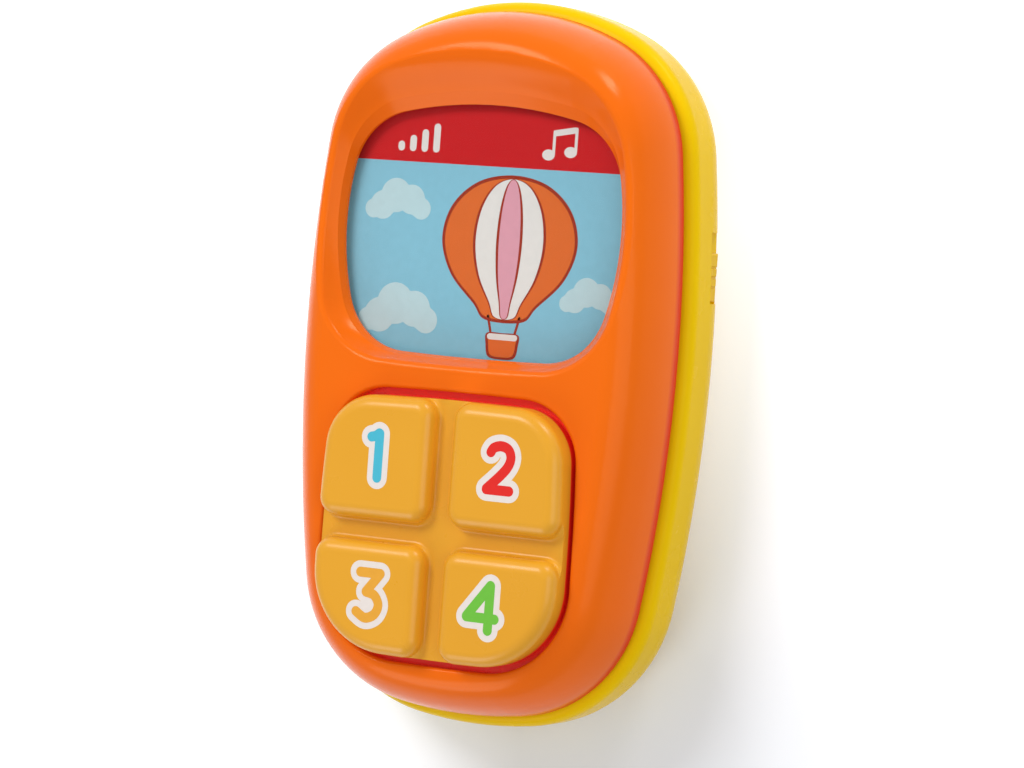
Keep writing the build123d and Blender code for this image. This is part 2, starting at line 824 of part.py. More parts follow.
def battery_cover_screw():
    return screw(
        0,
        cover_screw_y,
        cover_screw_seat,
        cover_screw_radius,
        cover_screw_head_radius,
        cover_screw_head_height,
        cover_screw_tip - cover_screw_seat,
    )


def battery_cover_nut():
    nut = nut_prism(nut_flats, nut_seat, nut_seat + nut_height)
    hole = cover_screw_radius + cover_screw_clearance
    return nut - cylinder(0, cover_screw_y, nut_seat, nut_seat + nut_height, hole)


def battery_cell(x, way):
    """A cell along Y: way is 1 where its positive end points up the phone."""
    length = cell_length - cell_nub_length
    can = Rot(-90, 0, 0) * Cylinder(cell_radius, length)
    can = fillet(can.edges(), cell_round)
    nub = Rot(-90, 0, 0) * Cylinder(cell_nub_radius, cell_nub_length)
    can += Pos(0, (length + cell_nub_length) / 2, 0) * nub
    if way < 0:
        can = Rot(0, 0, 180) * can
    plus_end = bay_top - contact_thickness if way > 0 else bay_foot + contact_thickness
    centre_y = plus_end - way * (cell_nub_length + length / 2)
    return Pos(x, centre_y, cell_z) * can


def contact_spring(x, way):
    """Coil pressed between a contact plate and the flat end of a cell."""
    rise = spring_length - 2 * spring_wire - 2 * fine
    path = Helix(pitch=rise / spring_turns, height=rise, radius=spring_radius)
    wire = sweep(Plane(path @ 0, z_dir=path % 0) * Circle(spring_wire), path=path, is_frenet=True)
    start = spring_wire + fine
    if way > 0:
        return Pos(x, bay_foot + contact_thickness + start, cell_z) * Rot(-90, 0, 0) * wire
    return Pos(x, bay_top - contact_thickness - start, cell_z) * Rot(90, 0, 0) * wire


def contact_plate(x_low, x_high, y):
    low, high = cell_z - contact_height / 2, cell_z + contact_height / 2
    return block(x_low, x_high, y, y + contact_thickness, low, high)


def bridge_contact():
    reach = (cell_pitch + contact_width) / 2
    return contact_plate(-reach, reach, bay_top - contact_thickness)


def terminal(x):
    plate = contact_plate(x - contact_width / 2, x + contact_width / 2, bay_foot)
    half = tab_width / 2
    tab_top = lead_height + lead_radius
    far = bay_foot + contact_thickness
    return plate + block(x - half, x + half, bay_foot, far, cell_z, tab_top)


def lead(points, bends):
    path = FilletPolyline(*points, radius=bends)
    return sweep(Plane(path @ 0, z_dir=path % 0) * Circle(lead_radius), path=path)


def battery_leads():
    start = bay_foot + contact_thickness
    end = start + battery_lead_run
    leads = []
    for x in (-cell_pitch / 2, cell_pitch / 2):
        points = [(x, start, lead_height), (x, end, lead_height), (x, end, board_back)]
        leads.append(lead(points, [board_bend]))
    return together(leads)


def speaker_leads():
    y = speaker_y - speaker_radius + speaker_rim / 2
    start = speaker_foot + gasket_thickness + rim_thickness
    leads = []
    for x in (-speaker_lead_x, speaker_lead_x):
        points = [
            (x, y, start),
            (x, y, lead_height),
            (x, lead_end_y, lead_height),
            (x, lead_end_y, board_back),
        ]
        leads.append(lead(points, [lead_bend, board_bend]))
    return together(leads)


def switch_leads():
    leads = []
    start_x = switch_face_x - switch_depth
    for reach, y in zip(switch_lead_reaches, (switch_y - stem_length, switch_y + stem_length)):
        x = start_x - reach
        points = [
            (start_x, y, switch_z),
            (x, y, switch_z),
            (x, y, lead_height),
            (x, lead_end_y, lead_height),
            (x, lead_end_y, board_back),
        ]
        leads.append(lead(points, [lead_bend, lead_bend, board_bend]))
    return together(leads)


def small_screws(places, seat, length):
    return together(
        screw(x, y, seat, small_screw_radius, small_head_radius, small_head_height, length)
        for x, y in places
    )


def housing_screws():
    return together(
        screw(
            x,
            y,
            housing_screw_seat,
            screw_radius,
            screw_head_radius,
            screw_head_height,
            housing_screw_length,
        )
        for x, y in housing_screws_at
    )


def board_screws():
    return small_screws(board_screws_at, board_back, board_thickness + small_screw_bite)


def retainer_screws():
    return small_screws(retainer_screws_at, retainer_back, retainer_thickness + small_screw_bite)


def speaker_screws():
    """Their heads lap over the rim of the speaker's frame."""
    shank = speaker_seat_top - wall_middle - seat_clearance
    return together(
        cylinder(x, y, speaker_seat_top, speaker_seat_top + small_head_height, small_head_radius)
        + cylinder(x, y, speaker_seat_top - shank, speaker_seat_top, small_screw_radius)
        for x, y in speaker_screws_at
    )


parts = {
    "front_bezel": front_bezel,
    "rear_shell": rear_shell,
    "window_lens": window_lens,
    "picture_card": picture_card,
    "picture_retainer": picture_retainer,
    "keypad_plate": keypad_plate,
    "key_membrane": key_membrane,
    "circuit_board": circuit_board,
    "chip_blob": chip_blob,
    "capacitor": capacitor,
    "slide_switch": slide_switch,
    "switch_knob": switch_knob,
    "speaker_frame": speaker_frame,
    "speaker_magnet": speaker_magnet,
    "speaker_cone": speaker_cone,
    "battery_cover": battery_cover,
    "battery_cover_screw": battery_cover_screw,
    "battery_cover_nut": battery_cover_nut,
    "battery_cell_left": lambda: battery_cell(-cell_pitch / 2, 1),
    "battery_cell_right": lambda: battery_cell(cell_pitch / 2, -1),
    "battery_springs": lambda: together(
        [contact_spring(-cell_pitch / 2, 1), contact_spring(cell_pitch / 2, -1)]
    ),
    "bridge_contact": bridge_contact,
    "negative_terminal": lambda: terminal(-cell_pitch / 2),
    "positive_terminal": lambda: terminal(cell_pitch / 2),
    "battery_leads": battery_leads,
    "speaker_leads": speaker_leads,
    "switch_leads": switch_leads,
    "housing_screws": housing_screws,
    "board_screws": board_screws,
    "retainer_screws": retainer_screws,
    "speaker_screws": speaker_screws,
}

os.makedirs("parts", exist_ok=True)
for name, make in parts.items():
    export_step(make(), f"parts/{name}.step")
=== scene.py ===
import bmesh
import bpy
from math import cos, pi, radians, sin, sqrt
from mathutils import Matrix, Vector


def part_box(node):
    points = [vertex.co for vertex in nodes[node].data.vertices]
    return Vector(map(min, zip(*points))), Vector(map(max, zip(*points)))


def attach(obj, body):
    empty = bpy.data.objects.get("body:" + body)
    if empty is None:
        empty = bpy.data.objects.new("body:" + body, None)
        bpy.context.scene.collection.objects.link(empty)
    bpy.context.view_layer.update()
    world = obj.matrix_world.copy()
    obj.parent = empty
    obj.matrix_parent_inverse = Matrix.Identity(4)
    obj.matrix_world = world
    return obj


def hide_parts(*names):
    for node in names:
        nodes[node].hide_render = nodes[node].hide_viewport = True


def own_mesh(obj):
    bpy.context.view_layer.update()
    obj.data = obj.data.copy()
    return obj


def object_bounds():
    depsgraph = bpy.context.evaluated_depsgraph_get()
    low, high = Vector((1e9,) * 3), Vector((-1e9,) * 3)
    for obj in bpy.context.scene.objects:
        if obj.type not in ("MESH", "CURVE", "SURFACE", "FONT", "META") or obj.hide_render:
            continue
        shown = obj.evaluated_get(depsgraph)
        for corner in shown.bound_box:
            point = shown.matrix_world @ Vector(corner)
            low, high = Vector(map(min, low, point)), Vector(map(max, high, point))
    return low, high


# A toy cell phone on its back, in metres and in the CAD frame:
# +Z comes out of the screen, +Y points to the top of the phone, +X to its right.
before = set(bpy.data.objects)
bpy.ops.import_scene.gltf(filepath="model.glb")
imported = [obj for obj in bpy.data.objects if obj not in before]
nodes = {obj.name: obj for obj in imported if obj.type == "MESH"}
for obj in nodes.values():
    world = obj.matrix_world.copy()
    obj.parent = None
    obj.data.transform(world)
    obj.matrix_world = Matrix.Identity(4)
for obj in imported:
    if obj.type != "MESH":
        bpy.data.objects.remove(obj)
cad_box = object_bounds()

MM = 0.001


# Materials


def linear(rgb):
    """A colour given as 0-255 sRGB."""
    def channel(value):
        value /= 255
        return value / 12.92 if value <= 0.04045 else ((value + 0.055) / 1.055) ** 2.4
    return (*[channel(value) for value in rgb], 1.0)


class Finish:
    """A Principled material and the few node groups that the finishes share."""

    def __init__(self, name, colour, **sockets):
        self.material = bpy.data.materials.new(name)
        self.material.use_nodes = True
        self.tree = self.material.node_tree
        self.shader = self.tree.nodes["Principled BSDF"]
        self.colour = linear(colour)
        self.shader.inputs["Base Color"].default_value = self.colour
        for socket, value in sockets.items():
            self.shader.inputs[socket.replace("_", " ")].default_value = value
        self.place = self.node("ShaderNodeTexCoord").outputs["Object"]

    def node(self, kind, **values):
        made = self.tree.nodes.new(kind)
        for key, value in values.items():
            if key in made.inputs:
                made.inputs[key].default_value = value
            else:
                setattr(made, key, value)
        return made

    def link(self, out, into):
        self.tree.links.new(out, into)

    def noise(self, scale, detail=3.0, stretch=None):
        texture = self.node("ShaderNodeTexNoise", Scale=scale, Detail=detail)
        place = self.place
        if stretch:
            mapping = self.node("ShaderNodeMapping")
            mapping.inputs["Scale"].default_value = stretch
            self.link(place, mapping.inputs["Vector"])
            place = mapping.outputs["Vector"]
        self.link(place, texture.inputs["Vector"])
        return texture.outputs["Fac"]

    def ranged(self, value, low, high, edge_low=0.3, edge_high=0.7):
        span = self.node("ShaderNodeMapRange")
        span.inputs["From Min"].default_value = edge_low
        span.inputs["From Max"].default_value = edge_high
        span.inputs["To Min"].default_value = low
        span.inputs["To Max"].default_value = high
        self.link(value, span.inputs["Value"])
        return span.outputs["Result"]

    def blend(self, factor, first, second):
        """First where the factor is 0, second where it is 1: each a colour or a node's output."""
        mix = self.node("ShaderNodeMix", data_type="RGBA")
        self.link(factor, mix.inputs["Factor"])
        for given, socket in ((first, mix.inputs["A"]), (second, mix.inputs["B"])):
            if isinstance(given, tuple):
                socket.default_value = given
            else:
                self.link(given, socket)
        return mix.outputs["Result"]

    def drift(self, tone, scale, stretch=None):
        """The colour wanders a little towards a second tone."""
        factor = self.ranged(self.noise(scale, stretch=stretch), 0.0, 1.0)
        self.paint(self.blend(factor, self.colour, linear(tone)))
        return self

    def paint(self, output):
        self.link(output, self.shader.inputs["Base Color"])

    def below(self, level, colour, fade):
        """Another colour under a height."""
        place = self.node("ShaderNodeSeparateXYZ")
        self.link(self.place, place.inputs["Vector"])
        factor = self.ranged(place.outputs["Z"], 1.0, 0.0, level, level + fade)
        above = self.shader.inputs["Base Color"].links[0].from_socket
        self.paint(self.blend(factor, above, linear(colour)))

    def gloss(self, low, high, scale, stretch=None):
        mottle = self.ranged(self.noise(scale, 4.0, stretch), low, high)
        self.link(mottle, self.shader.inputs["Roughness"])
        return self

    def relief(self, scale, depth, strength, detail=2.0, stretch=None):
        self.bump(self.noise(scale, detail, stretch), depth, strength)
        return self

    def bump(self, height, depth, strength):
        bump = self.node("ShaderNodeBump", Strength=strength, Distance=depth)
        before = self.shader.inputs["Normal"]
        if before.is_linked:
            self.link(before.links[0].from_socket, bump.inputs["Normal"])
        self.link(height, bump.inputs["Height"])
        self.link(bump.outputs["Normal"], self.shader.inputs["Normal"])


def moulded(name, colour, tone, low=0.22, high=0.3, shine=0.14, tint=(255, 255, 255)):
    """Polished injection moulding: a faint flow of colour, mottled gloss and fine orange peel."""
    finish = Finish(name, colour, Specular_IOR_Level=shine, Specular_Tint=linear(tint))
    finish.drift(tone, 28).gloss(low, high, 160)
    return finish.relief(900, 0.000006, 0.1).relief(110, 0.00003, 0.05, 0.0)


def metal(name, colour, tone, low, high, stretch=None):
    """Machined or pressed metal with fine scratches, which stretch draws out along an axis."""
    finish = Finish(name, colour, Metallic=1.0)
    finish.drift(tone, 300, stretch).gloss(low, high, 700, stretch)
    return finish.relief(1800, 0.000006, 0.3, 3.0, stretch)


def insulated(name, colour, tone):
    """Soft vinyl insulation."""
    return Finish(name, colour).drift(tone, 200).gloss(0.38, 0.5, 500).relief(2500, 0.000008, 0.2)


orange = moulded(
    "orange_moulding", (241, 110, 16), (238, 105, 14), 0.17, 0.22, shine=0.17, tint=(255, 218, 178)
)
# Painted shade: the bezel is coloured a darker red near its foot, standing in for the shade in the
# seam where it meets the rear shell
orange.below(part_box("front_bezel")[0].z + 1.6 * MM, (222, 60, 30), 1.2 * MM)
yellow = moulded(
    "yellow_moulding", (239, 198, 10), (235, 193, 8), shine=0.09, tint=(255, 220, 140)
)
cover_yellow = moulded("cover_moulding", (237, 194, 12), (233, 189, 9), 0.3, 0.38)
knob_yellow = moulded("knob_moulding", (236, 192, 12), (231, 186, 9), 0.26, 0.34)
amber = moulded("amber_moulding", (228, 163, 40), (224, 158, 36), 0.26, 0.34, shine=0.3)
# Painted shade: the plate's sides and flange are coloured deep red below the bezel's face,
# standing in for the red shade down in the gap round it
amber.below(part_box("keypad_plate")[1].z - 4.9 * MM, (250, 50, 34), 0.3 * MM)
white = moulded("white_moulding", (232, 230, 224), (226, 224, 217), 0.34, 0.42)
silicone = Finish(
    "silicone", (226, 224, 216), Subsurface_Weight=0.15, Subsurface_Radius=(0.002, 0.002, 0.002)
)
silicone.drift((218, 216, 207), 60).gloss(0.5, 0.62, 300).relief(1500, 0.00001, 0.3)
card_stock = Finish("card_stock", (240, 238, 232))
card_stock.drift((232, 229, 221), 800).gloss(0.6, 0.72, 900).relief(2600, 0.000008, 0.4)
resin = Finish("black_resin", (20, 20, 22)).drift((28, 28, 31), 90).gloss(0.12, 0.22, 240)
resin.relief(180, 0.00008, 0.25)
sleeve = Finish("capacitor_sleeve", (24, 40, 74)).drift((30, 48, 84), 150).gloss(0.28, 0.36, 400)
ferrite = Finish("ferrite", (58, 57, 58)).drift((70, 69, 69), 900).gloss(0.55, 0.75, 1200)
ferrite.relief(2400, 0.00002, 0.5, 5.0)
cone_paper = Finish("cone_paper", (30, 29, 30)).drift((42, 40, 40), 700).gloss(0.7, 0.85, 900)
cone_paper.relief(3000, 0.00002, 0.6, 6.0)
switch_can = metal("switch_can", (176, 178, 180), (160, 162, 165), 0.28, 0.42, (1, 1, 12))
speaker_steel = metal("speaker_steel", (186, 188, 190), (165, 167, 170), 0.25, 0.4)
zinc = metal("zinc_steel", (196, 198, 202), (178, 181, 186), 0.2, 0.34)
brass = metal("nut_brass", (214, 178, 96), (196, 160, 82), 0.22, 0.34)
nickel = metal("nickel_steel", (205, 203, 198), (188, 186, 180), 0.16, 0.28)
red_wire = insulated("red_wire", (196, 30, 28), (184, 26, 25))
black_wire = insulated("black_wire", (26, 26, 28), (34, 34, 36))
blue_wire = insulated("blue_wire", (36, 82, 168), (30, 74, 156))


def laminate():
    """Green solder mask over copper tracks, with the glass weave showing faintly."""
    finish = Finish("circuit_laminate", (22, 96, 52))
    cells = finish.node("ShaderNodeTexBrick", Scale=260.0)
    cells.inputs["Color1"].default_value = linear((24, 104, 56))
    cells.inputs["Color2"].default_value = linear((20, 90, 48))
    cells.inputs["Mortar"].default_value = linear((40, 128, 66))
    cells.inputs["Mortar Size"].default_value = 0.06
    finish.link(finish.place, cells.inputs["Vector"])
    finish.paint(cells.outputs["Color"])
    finish.bump(cells.outputs["Fac"], 0.00003, 0.3)
    return finish.gloss(0.25, 0.4, 300)


def cell_jacket(node, side):
    """Dark jacket with a pale band at the positive end and bare steel end faces.

    The positive end is on that side along Y."""
    finish = Finish(f"{node}_jacket", (32, 34, 40))
    finish.drift((40, 42, 50), 120).gloss(0.2, 0.3, 300).relief(80, 0.00004, 0.15)
    band_length, cap_height, base_height, edge = 12 * MM, 1.2 * MM, 0.2 * MM, side * 0.1 * MM
    low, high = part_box(node)
    tip, tail = (high.y, low.y) if side > 0 else (low.y, high.y)
    place = finish.node("ShaderNodeSeparateXYZ")
    finish.link(finish.place, place.inputs["Vector"])

    def past(level, step):
        return finish.ranged(place.outputs["Y"], 0.0, 1.0, level, level + step)

    dark = finish.shader.inputs["Base Color"].links[0].from_socket
    band = past(tip - side * band_length, edge)
    wrapped = finish.blend(band, dark, linear((206, 208, 212)))
    bare = finish.node("ShaderNodeMath", operation="MAXIMUM")
    finish.link(past(tip - side * cap_height, edge), bare.inputs[0])
    finish.link(past(tail + side * base_height, -edge), bare.inputs[1])
    finish.paint(finish.blend(bare.outputs["Value"], wrapped, linear((200, 199, 194))))
    finish.link(bare.outputs["Value"], finish.shader.inputs["Metallic"])
    return finish


finishes = {
    "front_bezel": orange,
    "rear_shell": yellow,
    "battery_cover": cover_yellow,
    "switch_knob": knob_yellow,
    "keypad_plate": amber,
    "picture_card": card_stock,
    "picture_retainer": white,
    "circuit_board": laminate(),
    "chip_blob": resin,
    "capacitor": sleeve,
    "slide_switch": switch_can,
    "speaker_frame": speaker_steel,
    "speaker_magnet": ferrite,
    "speaker_cone": cone_paper,
    "battery_cover_nut": brass,
    "battery_cell_left": cell_jacket("battery_cell_left", 1),
    "battery_cell_right": cell_jacket("battery_cell_right", -1),
    "battery_springs": nickel,
    "bridge_contact": nickel,
    "negative_terminal": nickel,
    "positive_terminal": nickel,
    "battery_leads": red_wire,
    "speaker_leads": black_wire,
    "switch_leads": blue_wire,
    "board_screws": zinc,
    "retainer_screws": zinc,
    "speaker_screws": zinc,
}
for name, finish in finishes.items():
    nodes[name].data.materials.clear()
    nodes[name].data.materials.append(finish.material)


# Pieces


def place_piece(name, mesh, finish, body):
    piece = bpy.data.objects.new(name, mesh)
    bpy.context.scene.collection.objects.link(piece)
    mesh.materials.clear()
    mesh.materials.append(finish.material)
    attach(piece, body)
    return piece


def middle(node):
    low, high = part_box(node)
    return (low + high) / 2


# Clear window: it stops short of the card, so that the print shows through
lens_gap = 0.12 * MM
lens_clear = Finish("clear_window", (30, 32, 34), Alpha=0.07, IOR=1.49)
lens_clear.gloss(0.04, 0.07, 200).relief(30, 0.00004, 0.06)
lens_mesh = nodes["window_lens"].data.copy()
lens_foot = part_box("window_lens")[0].z
lens_middle = middle("window_lens").z
for vertex in lens_mesh.vertices:
    if vertex.co.z < lens_middle:
        vertex.co.z = lens_foot + lens_gap
lens = place_piece("clear_window", lens_mesh, lens_clear, "housing")
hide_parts("window_lens")


# Printed shapes


def ink(name, colour, low=0.42, high=0.5, shine=0.0):
    finish = Finish(name, colour, Specular_IOR_Level=shine)
    finish.drift([value * 0.98 for value in colour], 900)
    return finish.gloss(low, high, 700).relief(2600, 0.000002, 0.1)


def smooth_path(points, closed=False, steps=10):
    """Points on the Catmull-Rom curve through the given ones."""
    count = len(points)
    spans = count if closed else count - 1
    path = []
    for i in range(spans):
        if closed:
            p0, p1, p2, p3 = [points[(i + k) % count] for k in (-1, 0, 1, 2)]
        else:
            p0, p1, p2, p3 = [points[min(max(i + k, 0), count - 1)] for k in (-1, 0, 1, 2)]
        for step in range(steps):
            t = step / steps
            path.append(tuple(
                0.5 * (
                    2 * b
                    + (c - a) * t
                    + (2 * a - 5 * b + 4 * c - d) * t * t
                    + (3 * b - a - 3 * c + d) * t * t * t
                )
                for a, b, c, d in zip(p0, p1, p2, p3)
            ))
    if not closed:
        path.append(points[-1])
    return path


def stroke(points, radius, caps=12):
    """Closed outline of a round-ended pen line along the points."""
    path = [Vector(point) for point in points]
    left, right = [], []
    for i, point in enumerate(path):
        along = (path[min(i + 1, len(path) - 1)] - path[max(i - 1, 0)]).normalized()
        side = Vector((-along.y, along.x)) * radius
        left.append(point + side)
        right.append(point - side)

    def cap(centre, start):
        arm = start - centre
        return [
            centre + Matrix.Rotation(-pi * k / caps, 2) @ arm for k in range(1, caps)
        ]

    loop = left + cap(path[-1], left[-1]) + right[::-1] + cap(path[0], right[0])
    return [tuple(point) for point in loop]


def disc(x, y, radius, flat=1.0, steps=48):
    turns = [2 * pi * k / steps for k in range(steps)]
    return [(x + radius * cos(turn), y + radius * flat * sin(turn)) for turn in turns]


def cloud(x, y, scale, puffs, steps=120):
    """Outline round several overlapping discs that all cover the middle."""
    loop = []
    for k in range(steps):
        ux, uy = cos(2 * pi * k / steps), sin(2 * pi * k / steps)
        reach = 0
        for px, py, radius in puffs:
            along, across = px * ux + py * uy, px * uy - py * ux
            if abs(across) < radius:
                reach = max(reach, along + sqrt(radius * radius - across * across))
        loop.append((x + scale * reach * ux, y + scale * reach * uy))
    return loop


def shift(loop, x, y, scale_x=1.0, scale_y=None):
    scale_y = scale_x if scale_y is None else scale_y
    return [(x + px * scale_x, y + py * scale_y) for px, py in loop]


def printed(name, loops, low, finish, body, thickness=0.004):
    """A film of ink. Loops and thickness are in mm, and a loop inside another is a hole."""
    curve = bpy.data.curves.new(name, "CURVE")
    curve.dimensions = "2D"
    curve.fill_mode = "BOTH"
    curve.extrude = thickness / 2
    for loop in loops:
        spline = curve.splines.new("POLY")
        spline.points.add(len(loop) - 1)
        for point, (x, y) in zip(spline.points, loop):
            point.co = (x, y, 0, 1)
        spline.use_cyclic_u = True
    maker = bpy.data.objects.new(name + "_path", curve)
    bpy.context.scene.collection.objects.link(maker)
    depsgraph = bpy.context.evaluated_depsgraph_get()
    mesh = bpy.data.meshes.new_from_object(maker.evaluated_get(depsgraph))
    bpy.data.objects.remove(maker)
    bpy.data.curves.remove(curve)
    lift = Matrix.Translation((0, 0, low + thickness * MM / 2))
    mesh.transform(lift @ Matrix.Scale(MM, 4))
    return place_piece(name, mesh, finish, body)


sky = ink("sky_ink", (147, 212, 234))
pale = ink("pale_ink", (202, 236, 242))
red = ink("red_ink", (219, 37, 41))
white_ink = ink("white_ink", (246, 245, 240))
print_orange = ink("orange_ink", (240, 120, 56))
outline_ink = ink("outline_ink", (172, 62, 42))
pink = ink("pink_ink", (240, 174, 190))

# The card's picture: a red band over a sky, with a hot-air balloon and clouds
card_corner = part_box("picture_card")[1]
card_top = card_corner.z
card_middle = middle("picture_card")
ink_step = 0.01 * MM
band_foot = card_corner.y - 11.4 * MM


def card_part(name, finish, above):
    """The card's face above or below the foot of the band."""
    sheet = bmesh.new()
    sheet.from_mesh(nodes["picture_card"].data)
    hidden = [face for face in sheet.faces if face.normal.z < 0.9]
    bmesh.ops.delete(sheet, geom=hidden, context="FACES")
    bmesh.ops.bisect_plane(
        sheet,
        geom=[*sheet.verts, *sheet.edges, *sheet.faces],
        dist=1e-7,
        plane_co=(0, band_foot, 0),
        plane_no=(0, 1, 0),
        clear_outer=not above,
        clear_inner=above,
    )
    bmesh.ops.translate(sheet, verts=sheet.verts, vec=(0, 0, ink_step))
    mesh = bpy.data.meshes.new(name)
    sheet.to_mesh(mesh)
    sheet.free()
    return place_piece(name, mesh, finish, "housing")


card_part("sky_print", sky, False)
card_part("band_print", red, True)


def on_card(name, loops, layer, finish):
    low = card_top + ink_step * (1 + layer)
    printed(name, loops, low, finish, "housing")


# The balloon, in mm from its own middle
art_x, art_y = card_middle.x / MM + 4.5, card_middle.y / MM - 3.2
envelope = smooth_path(
    [
        (0, 12.2), (6.2, 10.9), (10.6, 7.0), (12.0, 1.6), (10.0, -3.8), (5.6, -8.2), (3.2, -10.6),
        (-3.2, -10.6), (-5.6, -8.2), (-10.0, -3.8), (-12.0, 1.6), (-10.6, 7.0), (-6.2, 10.9),
    ],
    closed=True,
)
on_card("balloon_edge", [shift(envelope, art_x, art_y, 1.045)], 1, outline_ink)
on_card("balloon_skin", [shift(envelope, art_x, art_y)], 2, print_orange)
on_card("balloon_panel", [shift(envelope, art_x, art_y, 0.56, 1.0)], 3, outline_ink)
on_card("balloon_panel_skin", [shift(envelope, art_x, art_y, 0.52, 0.992)], 4, white_ink)
on_card("balloon_stripe", [shift(envelope, art_x, art_y, 0.2, 0.992)], 5, outline_ink)
on_card("balloon_stripe_skin", [shift(envelope, art_x, art_y, 0.16, 0.985)], 6, pink)

basket_y = art_y - 15.2
for side, hand in ((-1, "left"), (1, "right")):
    rope = [(art_x + side * 2.9, art_y - 10.4), (art_x + side * 2.1, basket_y + 1.6)]
    on_card(f"balloon_rope_{hand}", [stroke(rope, 0.22)], 2, outline_ink)
basket = smooth_path(
    [
        (-2.4, 1.7), (0, 1.8), (2.4, 1.7), (2.5, 0.2),
        (2.0, -1.5), (0, -1.8), (-2.0, -1.5), (-2.5, 0.2),
    ],
    closed=True,
)
on_card("basket_edge", [shift(basket, art_x, basket_y, 1.2)], 3, outline_ink)
on_card("basket_skin", [shift(basket, art_x, basket_y)], 4, print_orange)
rim = [(art_x - 2.3, basket_y + 1.5), (art_x + 2.3, basket_y + 1.5)]
on_card("basket_rim", [stroke(rim, 0.5)], 5, white_ink)

# Each puff of a cloud has a place and a radius, and each cloud a place and a scale
puffs = [(-3.4, -0.6, 2.5), (-0.9, 1.2, 3.0), (2.3, 0.6, 2.6), (4.3, -0.9, 1.9), (-5.2, -1.3, 1.7)]
for k, (x, y, size) in enumerate([(-16.5, 25.5, 0.95), (-15.0, 7.4, 1.15), (20.0, 12.0, 0.8)]):
    on_card(f"cloud_{k + 1}", [cloud(x, y, size, puffs)], 1 - k * 0.2, pale)

# The band shows from its foot to the window's upper edge, about 42 mm up
band_top = 42.0
band_y = (band_foot / MM + band_top) / 2 - 0.6
bar_start, bar_step, bar_growth, bar_radius = -17.0, 2.2, 1.05, 0.62
for k in range(4):
    x = bar_start + bar_step * k
    bar = stroke([(x, band_y - 1.9), (x, band_y - 1.5 + bar_growth * k)], bar_radius)
    on_card(f"signal_bar_{k + 1}", [bar], 1, white_ink)
note_x, note_spread, note_rise = 10.5, 4.0, 0.6
note_radius, note_flat, stem_radius, beam_radius = 1.15, 0.78, 0.26, 0.5
right_x = note_x + note_spread
head_y = band_y - 1.8
stem_x, stem_foot, stem_top = 0.9, band_y - 1.7, band_y + 2.0
left_stem = [(note_x + stem_x, stem_foot), (note_x + stem_x, stem_top)]
right_stem = [(right_x + stem_x, stem_foot + note_rise), (right_x + stem_x, stem_top + note_rise)]
beam = [(note_x + 1.2, band_y + 1.8), (note_x + 4.6, band_y + 2.4)]
note_heads = {
    "left": disc(note_x, head_y, note_radius, note_flat),
    "right": disc(right_x, head_y + note_rise, note_radius, note_flat),
}
for hand, head in note_heads.items():
    on_card(f"note_head_{hand}", [head], 1, white_ink)
on_card("note_stem_left", [stroke(left_stem, stem_radius)], 1.2, white_ink)
on_card("note_stem_right", [stroke(right_stem, stem_radius)], 1.2, white_ink)
on_card("note_beam", [stroke(beam, beam_radius)], 1.4, white_ink)


# Numbers on the keys: a coloured pen line on a wider pale one


def key_number_ink(name, colour):
    return ink(name, colour, 0.3, 0.38, 0.2)


key_ink = key_number_ink("key_number_edge", (232, 222, 216))
number_inks = [
    key_number_ink("number_cyan", (75, 184, 208)),
    key_number_ink("number_red", (225, 43, 38)),
    key_number_ink("number_amber", (232, 166, 58)),
    key_number_ink("number_green", (110, 190, 65)),
]
# From the middle of the plate to the middle of each number, then its pen lines, all in mm
number_places = [(-11.6, 11.3), (11.4, 11.3), (-10.9, -11.5), (10.6, -11.4)]
number_lines = [
    [[(-0.85, 2.95), (-0.1, 3.15), (0.55, 3.6)], [(0.65, 3.55), (0.65, 0.0), (0.65, -3.65)]],
    [
        [
            (-1.65, 2.4), (-1.1, 3.15), (0.2, 3.5), (1.5, 3.05),
            (2.05, 1.8), (1.65, 0.35), (0.4, -1.2), (-2.0, -3.5),
        ],
        [(-2.0, -3.6), (0.0, -3.6), (2.1, -3.6)],
    ],
    [
        [(-1.8, 3.6), (0.0, 3.6), (1.95, 3.6)],
        [(1.95, 3.6), (0.7, 2.0), (-0.5, 0.5)],
        [(-0.5, 0.45), (1.1, 0.0), (1.95, -1.5), (1.3, -3.1), (-0.4, -3.8), (-2.15, -2.9)],
    ],
    [
        [(0.9, 3.7), (0.9, 0.0), (0.9, -3.5)],
        [(0.9, 3.7), (-1.1, 1.1), (-3.1, -1.5)],
        [(-3.1, -1.6), (-0.5, -1.6), (2.0, -1.6)],
    ],
]
pen_radius, edge_width = 0.82, 1.05
# Films that cross lie at heights of their own
stroke_step, colour_lift, bowl_lift = 0.003 * MM, 0.015 * MM, 0.009 * MM
key_middle = middle("keypad_plate") / MM
key_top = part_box("keypad_plate")[1].z


def on_key(name, loop, low, finish):
    printed(name, [loop], low, finish, "keypad")


for number, (place, lines, colour) in enumerate(zip(number_places, number_lines, number_inks), 1):
    x, y = key_middle.x + place[0], key_middle.y + place[1]
    for k, points in enumerate(lines):
        path = shift(smooth_path(points), x, y)
        low = key_top + stroke_step * k
        on_key(f"number_{number}_edge_{k}", stroke(path, pen_radius + edge_width), low, key_ink)
        on_key(f"number_{number}_line_{k}", stroke(path, pen_radius), low + colour_lift, colour)
    if number == 3:
        # Fills the hole that the pale edge would leave inside the bowl
        on_key("number_3_edge_bowl", disc(x - 0.45, y - 1.6, 1.0), key_top + bowl_lift, key_ink)


# Key sheet with its domes, under the plate: a copy of the CAD's membrane takes its place

membrane_mesh = nodes["key_membrane"].data.copy()
membrane = place_piece(
    "key_membrane_domes", membrane_mesh, silicone, "housing"
)
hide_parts("key_membrane")
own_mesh(membrane)


# Screws with their cross recesses, where the CAD has plain ones


